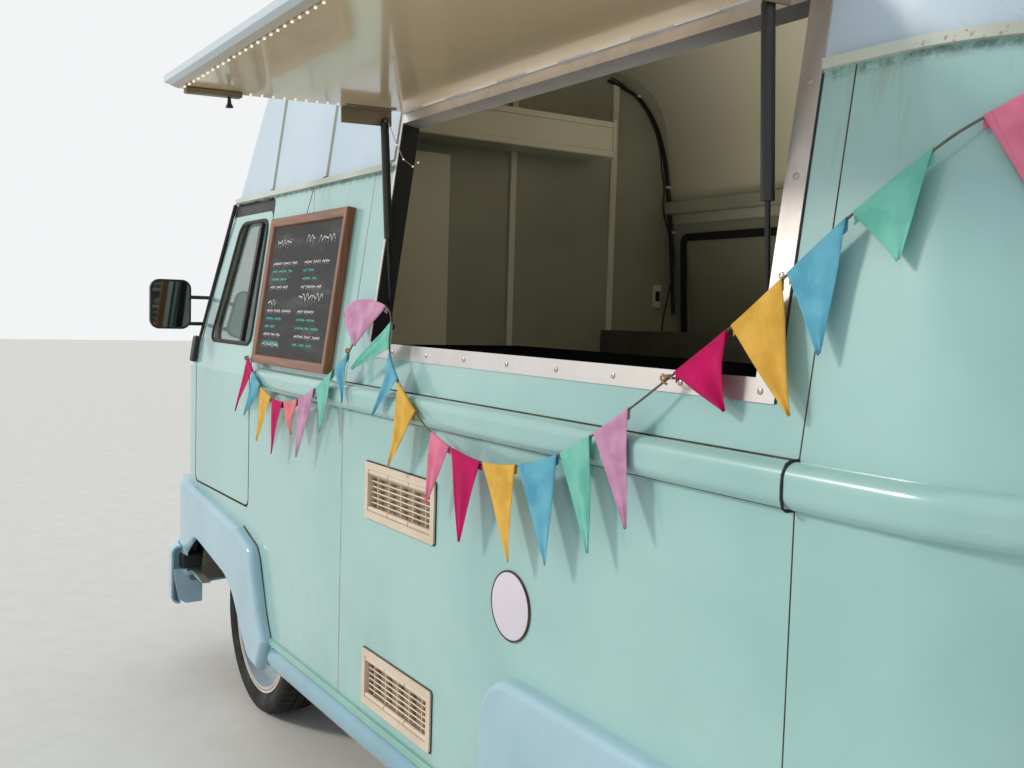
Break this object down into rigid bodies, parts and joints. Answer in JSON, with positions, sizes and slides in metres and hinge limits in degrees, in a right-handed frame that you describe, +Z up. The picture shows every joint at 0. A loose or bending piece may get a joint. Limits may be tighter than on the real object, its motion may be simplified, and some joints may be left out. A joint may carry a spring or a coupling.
{
  "type": "food truck",
  "caption": "High-roof van made into a food truck, with a serving hatch under a top-hinged flap on gas struts, side vents, menu board and bunting.",
  "frame": {"origin": "middle of the underside of the whole truck's box, on the ground", "axes": "+X forward, +Y to the left, the side with the hatch, +Z up"},
  "size_m": [4.0298, 2.521, 2.447],
  "materials": {
    "mint_paint": "gloss",
    "white_paint": "gloss",
    "roof_paint": "gloss",
    "cream_paint": "satin",
    "glass": "clear",
    "trim": "satin",
    "black_metal": "satin",
    "steel": "brushed",
    "rod_steel": "polished",
    "tyre": "matte",
    "vent_plastic": "satin",
    "black_plastic": "matte",
    "interior": "matte",
    "counter_black": "satin",
    "wood": "satin",
    "seat_cloth": "cloth",
    "red_lens": "gloss",
    "lamp_glass": "clear",
    "iron": "rough",
    "jute": "fibrous",
    "bunting_cloth": "cloth",
    "cable_black": "matte"
  },
  "bodies": {
    "truck_body": {"floor_pan": "mint_paint", "cab_shell": "mint_paint", "side_panel_left": "mint_paint", "side_panel_right": "mint_paint", "rear_frame": "mint_paint", "belt_moulding": "mint_paint", "driver_door": "mint_paint", "cab_glass": "glass", "high_roof": "roof_paint", "gutter_rail": "mint_paint", "wheel_arches": "white_paint", "sill_tubes": "white_paint", "bumpers": "white_paint", "hatch_frame": "trim", "bulkhead": "interior", "counter_top": "counter_black", "counter_base": "interior", "kitchen_unit": "black_plastic", "shelf": "interior", "cupboard": "interior", "cable_run": "cable_black", "cab_seats": "seat_cloth", "dashboard": "black_plastic", "engine_block": "iron", "chassis_frame": "black_metal", "rear_axle": "black_metal", "fuel_tank": "black_metal", "exhaust": "steel", "headlamps": "lamp_glass", "rear_lamps": "red_lens", "front_grille": "trim", "side_vents": "vent_plastic", "menu_board": "wood", "mirrors": "black_plastic", "bunting_cord": "jute", "bunting_pegs": "steel", "pennants": "bunting_cloth"},
    "flap": {"serving_flap": "cream_paint"},
    "strut_tubes": {"strut_cylinders": "black_metal"},
    "strut_pistons": {"strut_rods": "rod_steel"},
    "knuckle_l": {"knuckle_left": "iron"},
    "knuckle_r": {"knuckle_right": "iron"},
    "wheel_fl": {"wheel_front_left": "white_paint", "tyre_front_left": "tyre"},
    "wheel_fr": {"wheel_front_right": "white_paint", "tyre_front_right": "tyre"},
    "wheel_rl": {"wheel_rear_left": "white_paint", "tyre_rear_left": "tyre"},
    "wheel_rr": {"wheel_rear_right": "white_paint", "tyre_rear_right": "tyre"},
    "door_passenger": {"passenger_door": "mint_paint", "passenger_glass": "glass"},
    "door_load": {"side_door": "mint_paint"},
    "door_tailgate": {"tailgate": "mint_paint", "tailgate_glass": "glass"},
    "door_lower_left": {"lower_door_left": "mint_paint"},
    "door_lower_right": {"lower_door_right": "mint_paint"}
  },
  "joints": [
    {"name": "flap_hinge", "type": "hinge", "parent": "truck_body", "child": "flap", "pos_m": [-0.686, 0.64807, 1.992], "axis": [1, 0, 0], "range_deg": [-80.21, 0], "deforming": ["bunting_cord", "pennants"]},
    {"name": "strut_swing", "type": "hinge", "parent": "flap", "child": "strut_tubes", "pos_m": [-0.686, 0.71048, 1.957], "axis": [1, 0, 0], "range_deg": [-0.5, 90.46]},
    {"name": "strut_slide", "type": "slide", "parent": "strut_tubes", "child": "strut_pistons", "axis": [0, -0.0587, -0.9983], "range_m": [-0.032, 0.001]},
    {"name": "steer_left", "type": "hinge", "parent": "truck_body", "child": "knuckle_l", "pos_m": [1.16, 0.47448, 0.336], "axis": [0, 0, 1], "range_deg": [-28, 28]},
    {"name": "steer_right", "type": "hinge", "parent": "truck_body", "child": "knuckle_r", "pos_m": [1.16, -0.80552, 0.336], "axis": [0, 0, 1], "range_deg": [-28, 28]},
    {"name": "spin_front_left", "type": "hinge", "parent": "knuckle_l", "child": "wheel_fl", "pos_m": [1.16, 0.55448, 0.336], "axis": [0, 1, 0], "continuous": true},
    {"name": "spin_front_right", "type": "hinge", "parent": "knuckle_r", "child": "wheel_fr", "pos_m": [1.16, -0.88552, 0.336], "axis": [0, 1, 0], "continuous": true},
    {"name": "spin_rear_left", "type": "hinge", "parent": "truck_body", "child": "wheel_rl", "pos_m": [-1.11, 0.55448, 0.336], "axis": [0, 1, 0], "continuous": true},
    {"name": "spin_rear_right", "type": "hinge", "parent": "truck_body", "child": "wheel_rr", "pos_m": [-1.11, -0.88552, 0.336], "axis": [0, 1, 0], "continuous": true},
    {"name": "passenger_door_hinge", "type": "hinge", "parent": "truck_body", "child": "door_passenger", "pos_m": [1.565, -1.08452, 1.015], "axis": [0, 0, 1], "range_deg": [0, 70]},
    {"name": "side_door_hinge", "type": "hinge", "parent": "truck_body", "child": "door_load", "pos_m": [0.735, -1.08452, 0.875], "axis": [0, 0, 1], "range_deg": [0, 70]},
    {"name": "tailgate_hinge", "type": "hinge", "parent": "truck_body", "child": "door_tailgate", "pos_m": [-1.87592, -0.16552, 1.8], "axis": [0, 1, 0], "range_deg": [0, 80]},
    {"name": "lower_left_hinge", "type": "hinge", "parent": "truck_body", "child": "door_lower_left", "pos_m": [-1.949, 0.42948, 0.83], "axis": [0, 0, -1], "range_deg": [0, 110]},
    {"name": "lower_right_hinge", "type": "hinge", "parent": "truck_body", "child": "door_lower_right", "pos_m": [-1.949, -0.76052, 0.83], "axis": [0, 0, 1], "range_deg": [0, 110]}
  ],
  "couplings": [
    {"joint": "strut_swing", "follows": "flap_hinge", "ratio": -1.1215},
    {"joint": "strut_slide", "follows": "flap_hinge", "m_per_rad": 0.021631},
    {"joint": "steer_right", "follows": "steer_left", "ratio": 1}
  ]
}
